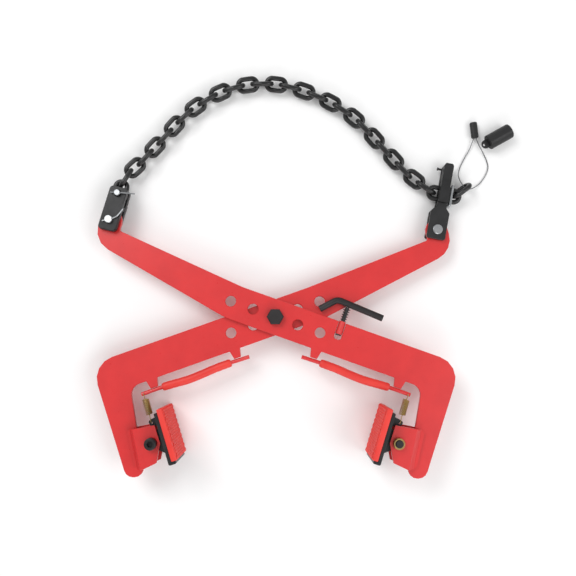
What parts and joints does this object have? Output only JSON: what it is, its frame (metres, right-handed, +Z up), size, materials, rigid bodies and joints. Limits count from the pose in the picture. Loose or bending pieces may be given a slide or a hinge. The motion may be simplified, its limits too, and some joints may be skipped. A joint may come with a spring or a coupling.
{
  "type": "kerb stone lifting clamp",
  "caption": "Scissor lifting clamp with crossed plate arms, swivelling padded jaws, sprung handles, catch rod, shackle, grab fork, lifting chain and cap on a lanyard.",
  "frame": {"origin": "bottom centre of the clamp's box as it lies on its back, leaving out the lanyard and its cap", "axes": "+Y from the jaws towards the top of the chain, +Z up through the clamp's thickness, +X towards the arm end that carries the fork"},
  "size_m": [0.8581, 0.8207, 0.1278],
  "materials": {
    "red_paint": "glossy red lacquer over steel",
    "black_steel": "black oxide or black paint on forged and rolled steel",
    "bright_steel": "bright zinc plate on steel",
    "yellow_zinc": "yellow chromated zinc on steel",
    "red_rubber": "matt orange-red soft plastic",
    "black_plastic": "plain black plastic"
  },
  "bodies": {
    "front_arm": {"front_arm": "red_paint", "pivot_bolt": "black_steel", "pivot_nut": "black_steel", "pivot_washer": "bright_steel", "catch_tube": "red_paint", "right_handle_rod": "red_paint", "right_grip": "red_rubber", "right_cheek_front": "red_paint", "right_cheek_back": "red_paint", "right_jaw_bolt": "black_steel", "right_jaw_nut": "yellow_zinc", "right_jaw_spring": "yellow_zinc"},
    "rear_arm": {"rear_arm": "red_paint", "left_handle_rod": "red_paint", "left_grip": "red_rubber", "left_cheek_front": "red_paint", "left_cheek_back": "red_paint", "left_jaw_bolt": "black_steel", "left_jaw_nut": "yellow_zinc", "left_jaw_spring": "yellow_zinc"},
    "catch": {"catch_rod": "black_steel", "catch_stem": "black_steel", "catch_spring": "black_steel"},
    "right_jaw": {"right_jaw_bracket": "black_steel", "right_jaw_pad": "red_rubber"},
    "left_jaw": {"left_jaw_bracket": "black_steel", "left_jaw_pad": "red_rubber"},
    "shackle": {"shackle": "black_steel", "shackle_arm_pin": "bright_steel", "shackle_chain_pin": "bright_steel", "arm_pin_cotter": "bright_steel", "chain_pin_cotter": "bright_steel"},
    "fork": {"grab_fork": "black_steel", "fork_pin": "bright_steel", "keeper_pin": "black_steel", "stop_plate": "bright_steel", "long_link": "black_steel", "lanyard_link": "black_steel", "lanyard": "bright_steel", "lanyard_ferrule": "black_plastic", "lanyard_cap": "black_plastic"},
    "chain_a": {"chain_01": "black_steel", "chain_02": "black_steel"},
    "chain_b": {"chain_03": "black_steel"},
    "chain_c": {"chain_04": "black_steel", "chain_05": "black_steel"},
    "chain_d": {"chain_06": "black_steel", "chain_07": "black_steel"},
    "chain_e": {"chain_08": "black_steel", "chain_09": "black_steel"},
    "chain_f": {"chain_10": "black_steel", "chain_11": "black_steel"},
    "chain_g": {"chain_12": "black_steel", "chain_13": "black_steel", "chain_14": "black_steel"}
  },
  "joints": [
    {"name": "jaw_opening", "type": "hinge", "parent": "front_arm", "child": "rear_arm", "pos_m": [-0.0215, -0.0899, 0.0456], "axis": [0, -0.0809, -0.9967], "range_deg": [-19, 35]},
    {"name": "catch_swivel", "type": "hinge", "parent": "front_arm", "child": "catch", "pos_m": [0.10293, -0.13329, 0.05564], "axis": [0.3338, 0.9396, -0.0763], "range_deg": [0, 20]},
    {"name": "right_jaw_swing", "type": "hinge", "parent": "front_arm", "child": "right_jaw", "pos_m": [0.2225, -0.33908, 0.06582], "axis": [0, 0.0809, 0.9967], "range_deg": [0, 22], "stiffness_Nm_per_rad": 1, "deforming": ["right_jaw_spring"]},
    {"name": "left_jaw_swing", "type": "hinge", "parent": "rear_arm", "child": "left_jaw", "pos_m": [-0.2655, -0.33908, 0.06582], "axis": [0, -0.0809, -0.9967], "range_deg": [0, 22], "stiffness_Nm_per_rad": 1, "deforming": ["left_jaw_spring"]},
    {"name": "fork_swing", "type": "hinge", "parent": "rear_arm", "child": "fork", "pos_m": [0.3109, 0.08849, 0.0246], "axis": [0, 0.0809, 0.9967], "range_deg": [-18.51, 33.26]},
    {"name": "shackle_swing", "type": "hinge", "parent": "front_arm", "child": "shackle", "pos_m": [-0.3585, 0.10698, 0.03614], "axis": [0, 0.0809, 0.9967], "range_deg": [-2.39, 3.56]},
    {"name": "chain_a_bend", "type": "hinge", "parent": "shackle", "child": "chain_a", "pos_m": [-0.34208, 0.16118, 0.03174], "axis": [0, 0.0809, 0.9967], "range_deg": [-17.73, 10.08]},
    {"name": "chain_b_bend", "type": "hinge", "parent": "chain_a", "child": "chain_b", "pos_m": [-0.28236, 0.25128, 0.01807], "axis": [0, 0.0809, 0.9967], "range_deg": [-17.6, 10.01]},
    {"name": "chain_c_bend", "type": "hinge", "parent": "chain_b", "child": "chain_c", "pos_m": [-0.2421, 0.29512, 0.01668], "axis": [0, 0.0809, 0.9967], "range_deg": [-14.83, 8.51]},
    {"name": "chain_d_bend", "type": "hinge", "parent": "chain_c", "child": "chain_d", "pos_m": [-0.14976, 0.3688, 0.0168], "axis": [0, 0.0809, 0.9967], "range_deg": [-6.68, 11.47]},
    {"name": "chain_g_bend", "type": "hinge", "parent": "fork", "child": "chain_g", "pos_m": [0.30105, 0.16858, 0.0181], "axis": [0, 0.0809, 0.9967], "range_deg": [-4.81, 8.01]},
    {"name": "chain_f_bend", "type": "hinge", "parent": "chain_g", "child": "chain_f", "pos_m": [0.17355, 0.29175, 0.0168], "axis": [0, 0.0809, 0.9967], "range_deg": [-6.22, 3.83]},
    {"name": "chain_e_bend", "type": "hinge", "parent": "chain_f", "child": "chain_e", "pos_m": [0.07867, 0.36198, 0.0168], "axis": [0, 0.0809, 0.9967], "range_deg": [-17.58, 10]}
  ],
  "couplings": [
    {"joint": "fork_swing", "follows": "jaw_opening", "ratio": 0.9217},
    {"joint": "shackle_swing", "follows": "jaw_opening", "ratio": 0.0731},
    {"joint": "chain_a_bend", "follows": "jaw_opening", "ratio": -0.478},
    {"joint": "chain_b_bend", "follows": "jaw_opening", "ratio": -0.4744},
    {"joint": "chain_c_bend", "follows": "jaw_opening", "ratio": -0.3951},
    {"joint": "chain_d_bend", "follows": "jaw_opening", "ratio": 0.2991},
    {"joint": "chain_g_bend", "follows": "jaw_opening", "ratio": 0.2003},
    {"joint": "chain_f_bend", "follows": "jaw_opening", "ratio": -0.1492},
    {"joint": "chain_e_bend", "follows": "jaw_opening", "ratio": -0.4738}
  ]
}
